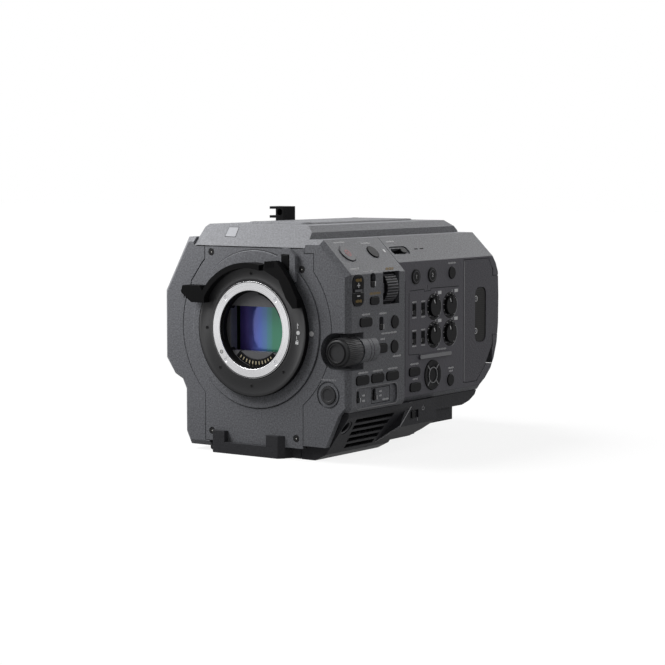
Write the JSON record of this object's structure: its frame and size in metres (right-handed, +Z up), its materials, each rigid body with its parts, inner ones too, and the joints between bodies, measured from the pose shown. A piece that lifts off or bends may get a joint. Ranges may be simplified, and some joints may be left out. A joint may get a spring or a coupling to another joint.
{
  "type": "cinema camera",
  "caption": "Box-shaped cinema camera body with a bayonet lens mount and lock ring, a control side with dials and buttons, a media door and a battery bay.",
  "frame": {"origin": "centre of the mouth of the front tripod thread, on the underside of the base, straight below the lens axis", "axes": "+X towards the control and audio side, +Y from the lens mount towards the battery bay, +Z up"},
  "size_m": [0.1496, 0.2295, 0.1523],
  "materials": {
    "magnesium_grey": "fine textured paint",
    "dark_cover": "fine textured paint",
    "black_plastic": "fine grained",
    "black_control": "satin moulded",
    "black_metal": "black anodised",
    "bayonet_steel": "turned and polished",
    "frame_alloy": "cast and blasted",
    "sensor_glass": "coated",
    "board_green": "solder mask",
    "sink_alloy": "extruded",
    "record_red": "satin with a red mark",
    "connector_nickel": "nickel plated",
    "screw_black": "blackened steel"
  },
  "bodies": {
    "casing": {"front_panel": "magnesium_grey", "top_cover": "magnesium_grey", "grip_side_cover": "magnesium_grey", "control_side_cover": "magnesium_grey", "audio_side_cover": "dark_cover", "rear_cover": "black_plastic", "base_plate": "black_metal", "chassis": "frame_alloy", "mount_base_ring": "magnesium_grey", "lens_mount_ring": "bayonet_steel", "light_baffle": "black_plastic", "sensor_glass": "sensor_glass", "circuit_boards": "board_green", "heat_sink": "sink_alloy", "card_reader": "black_plastic", "cable_clip": "black_plastic", "rear_connectors": "connector_nickel", "panel_screws": "screw_black"},
    "lock_ring": {"lock_ring": "black_metal"},
    "lock_catch": {"lock_catch": "black_plastic"},
    "record_button": {"record_button": "record_red"},
    "review_button": {"review_button": "black_control"},
    "hold_switch": {"hold_switch": "black_control"},
    "status_button": {"status_button": "black_control"},
    "iris_button": {"iris_button": "black_control"},
    "iso_button": {"iso_button": "black_control"},
    "white_button": {"white_button": "black_control"},
    "shutter_button": {"shutter_button": "black_control"},
    "nd_auto_button": {"nd_auto_button": "black_control"},
    "focus_button": {"focus_button": "black_control"},
    "iris_auto_button": {"iris_auto_button": "black_control"},
    "assign_button_1": {"assign_button_1": "black_control"},
    "assign_button_2": {"assign_button_2": "black_control"},
    "slot_button": {"slot_button": "black_control"},
    "thumbnail_button": {"thumbnail_button": "black_control"},
    "menu_button": {"menu_button": "black_control"},
    "cancel_button": {"cancel_button": "black_control"},
    "nd_mode_switch": {"nd_mode_switch": "black_control"},
    "focus_switch": {"focus_switch": "black_control"},
    "gain_switch": {"gain_switch": "black_control"},
    "white_switch": {"white_switch": "black_control"},
    "audio_switch_1": {"audio_switch_1": "black_control"},
    "audio_switch_2": {"audio_switch_2": "black_control"},
    "audio_switch_3": {"audio_switch_3": "black_control"},
    "audio_switch_4": {"audio_switch_4": "black_control"},
    "nd_rocker": {"nd_rocker": "black_control"},
    "nd_wheel": {"nd_wheel": "black_control"},
    "audio_dial_1": {"audio_dial_1": "black_control"},
    "audio_dial_2": {"audio_dial_2": "black_control"},
    "audio_dial_3": {"audio_dial_3": "black_control"},
    "audio_dial_4": {"audio_dial_4": "black_control"},
    "pad_ring": {"pad_ring": "black_control"},
    "pad_centre": {"pad_centre": "black_control"},
    "white_set_button": {"white_set_button": "black_control"},
    "dial_shaft": {"dial_shaft": "frame_alloy"},
    "function_dial": {"function_dial": "black_control"},
    "media_door": {"media_door": "dark_cover"},
    "power_switch": {"power_switch": "black_control"},
    "battery_latch": {"battery_latch": "black_control"},
    "fan_impeller": {"fan_impeller": "black_plastic"}
  },
  "joints": [
    {"name": "lock_ring_turn", "type": "hinge", "parent": "casing", "child": "lock_ring", "pos_m": [0, -0.06, 0.0785], "axis": [0, -1, 0], "range_deg": [0, 40]},
    {"name": "lock_catch_slide", "type": "slide", "parent": "casing", "child": "lock_catch", "axis": [0, 0, -1], "range_m": [0, 0.002], "stiffness_N_per_m": 300, "springref_m": -0.0004},
    {"name": "record_press", "type": "slide", "parent": "casing", "child": "record_button", "axis": [-0.7071, 0, -0.7071], "range_m": [0, 0.0008], "stiffness_N_per_m": 400, "springref_m": -0.0004},
    {"name": "review_press", "type": "slide", "parent": "casing", "child": "review_button", "axis": [-0.7071, 0, -0.7071], "range_m": [0, 0.0008], "stiffness_N_per_m": 400, "springref_m": -0.0004},
    {"name": "hold_switch_slide", "type": "slide", "parent": "casing", "child": "hold_switch", "axis": [0, 1, 0], "range_m": [-0.005, 0]},
    {"name": "status_press", "type": "slide", "parent": "casing", "child": "status_button", "axis": [-1, 0, 0], "range_m": [0, 0.0008], "stiffness_N_per_m": 400, "springref_m": -0.0004},
    {"name": "iris_press", "type": "slide", "parent": "casing", "child": "iris_button", "axis": [-1, 0, 0], "range_m": [0, 0.0008], "stiffness_N_per_m": 400, "springref_m": -0.0004},
    {"name": "iso_press", "type": "slide", "parent": "casing", "child": "iso_button", "axis": [-1, 0, 0], "range_m": [0, 0.0008], "stiffness_N_per_m": 400, "springref_m": -0.0004},
    {"name": "white_press", "type": "slide", "parent": "casing", "child": "white_button", "axis": [-1, 0, 0], "range_m": [0, 0.0008], "stiffness_N_per_m": 400, "springref_m": -0.0004},
    {"name": "shutter_press", "type": "slide", "parent": "casing", "child": "shutter_button", "axis": [-1, 0, 0], "range_m": [0, 0.0008], "stiffness_N_per_m": 400, "springref_m": -0.0004},
    {"name": "nd_auto_press", "type": "slide", "parent": "casing", "child": "nd_auto_button", "axis": [-1, 0, 0], "range_m": [0, 0.0008], "stiffness_N_per_m": 400, "springref_m": -0.0004},
    {"name": "focus_press", "type": "slide", "parent": "casing", "child": "focus_button", "axis": [-1, 0, 0], "range_m": [0, 0.0008], "stiffness_N_per_m": 400, "springref_m": -0.0004},
    {"name": "iris_auto_press", "type": "slide", "parent": "casing", "child": "iris_auto_button", "axis": [-1, 0, 0], "range_m": [0, 0.0008], "stiffness_N_per_m": 400, "springref_m": -0.0004},
    {"name": "assign_press_1", "type": "slide", "parent": "casing", "child": "assign_button_1", "axis": [-1, 0, 0], "range_m": [0, 0.0008], "stiffness_N_per_m": 400, "springref_m": -0.0004},
    {"name": "assign_press_2", "type": "slide", "parent": "casing", "child": "assign_button_2", "axis": [-1, 0, 0], "range_m": [0, 0.0008], "stiffness_N_per_m": 400, "springref_m": -0.0004},
    {"name": "slot_press", "type": "slide", "parent": "casing", "child": "slot_button", "axis": [-1, 0, 0], "range_m": [0, 0.0008], "stiffness_N_per_m": 400, "springref_m": -0.0004},
    {"name": "thumbnail_press", "type": "slide", "parent": "casing", "child": "thumbnail_button", "axis": [-1, 0, 0], "range_m": [0, 0.0008], "stiffness_N_per_m": 400, "springref_m": -0.0004},
    {"name": "menu_press", "type": "slide", "parent": "casing", "child": "menu_button", "axis": [-1, 0, 0], "range_m": [0, 0.0008], "stiffness_N_per_m": 400, "springref_m": -0.0004},
    {"name": "cancel_press", "type": "slide", "parent": "casing", "child": "cancel_button", "axis": [-1, 0, 0], "range_m": [0, 0.0008], "stiffness_N_per_m": 400, "springref_m": -0.0004},
    {"name": "nd_mode_switch_slide", "type": "slide", "parent": "casing", "child": "nd_mode_switch", "axis": [0, 0, 1], "range_m": [0, 0.00336]},
    {"name": "focus_switch_slide", "type": "slide", "parent": "casing", "child": "focus_switch", "axis": [0, 0, 1], "range_m": [0, 0.0032]},
    {"name": "gain_switch_slide", "type": "slide", "parent": "casing", "child": "gain_switch", "axis": [0, 0, 1], "range_m": [0, 0.0028]},
    {"name": "white_switch_slide", "type": "slide", "parent": "casing", "child": "white_switch", "axis": [0, 0, 1], "range_m": [0, 0.0028]},
    {"name": "audio_switch_1_slide", "type": "slide", "parent": "casing", "child": "audio_switch_1", "axis": [0, 0, 1], "range_m": [0, 0.0028]},
    {"name": "audio_switch_2_slide", "type": "slide", "parent": "casing", "child": "audio_switch_2", "axis": [0, 0, 1], "range_m": [0, 0.0028]},
    {"name": "audio_switch_3_slide", "type": "slide", "parent": "casing", "child": "audio_switch_3", "axis": [0, 0, 1], "range_m": [0, 0.0028]},
    {"name": "audio_switch_4_slide", "type": "slide", "parent": "casing", "child": "audio_switch_4", "axis": [0, 0, 1], "range_m": [0, 0.0028]},
    {"name": "nd_rocker_tip", "type": "hinge", "parent": "casing", "child": "nd_rocker", "pos_m": [0.0685, -0.0454, 0.1044], "axis": [0, 1, 0], "range_deg": [-3, 3], "stiffness_Nm_per_rad": 0.05},
    {"name": "nd_wheel_turn", "type": "hinge", "parent": "casing", "child": "nd_wheel", "pos_m": [0.0606, -0.0093, 0.1044], "axis": [0, 1, 0], "continuous": true},
    {"name": "audio_dial_1_turn", "type": "hinge", "parent": "casing", "child": "audio_dial_1", "pos_m": [0.065, 0.0479, 0.0892], "axis": [1, 0, 0], "range_deg": [-140, 140]},
    {"name": "audio_dial_2_turn", "type": "hinge", "parent": "casing", "child": "audio_dial_2", "pos_m": [0.065, 0.0672, 0.0892], "axis": [1, 0, 0], "range_deg": [-140, 140]},
    {"name": "audio_dial_3_turn", "type": "hinge", "parent": "casing", "child": "audio_dial_3", "pos_m": [0.065, 0.0479, 0.0712], "axis": [1, 0, 0], "range_deg": [-140, 140]},
    {"name": "audio_dial_4_turn", "type": "hinge", "parent": "casing", "child": "audio_dial_4", "pos_m": [0.065, 0.0672, 0.0712], "axis": [1, 0, 0], "range_deg": [-140, 140]},
    {"name": "pad_ring_tilt", "type": "hinge", "parent": "casing", "child": "pad_ring", "pos_m": [0.0634, 0.0464, 0.0455], "axis": [0, 0, 1], "range_deg": [-2, 2], "stiffness_Nm_per_rad": 0.05},
    {"name": "pad_centre_press", "type": "slide", "parent": "casing", "child": "pad_centre", "axis": [-1, 0, 0], "range_m": [0, 0.0006], "stiffness_N_per_m": 400, "springref_m": -0.0004},
    {"name": "white_set_press", "type": "slide", "parent": "casing", "child": "white_set_button", "axis": [0, 1, 0], "range_m": [0, 0.0008], "stiffness_N_per_m": 400, "springref_m": -0.0004},
    {"name": "dial_press", "type": "slide", "parent": "casing", "child": "dial_shaft", "axis": [0, 1, 0], "range_m": [0, 0.001], "stiffness_N_per_m": 400, "springref_m": -0.0004},
    {"name": "dial_turn", "type": "hinge", "parent": "dial_shaft", "child": "function_dial", "pos_m": [0.065, -0.055, 0.0678], "axis": [0, 1, 0], "continuous": true},
    {"name": "media_door_swing", "type": "hinge", "parent": "casing", "child": "media_door", "pos_m": [0.0628, 0.1264, 0.08], "axis": [0, 0, 1], "range_deg": [0, 100]},
    {"name": "power_switch_slide", "type": "slide", "parent": "casing", "child": "power_switch", "axis": [0, 1, 0], "range_m": [0, 0.003]},
    {"name": "battery_latch_press", "type": "slide", "parent": "casing", "child": "battery_latch", "axis": [0, -1, 0], "range_m": [0, 0.001], "stiffness_N_per_m": 400, "springref_m": -0.0004},
    {"name": "fan_spin", "type": "hinge", "parent": "casing", "child": "fan_impeller", "pos_m": [-0.001, 0.053, 0.068], "axis": [0, 1, 0], "continuous": true}
  ]
}
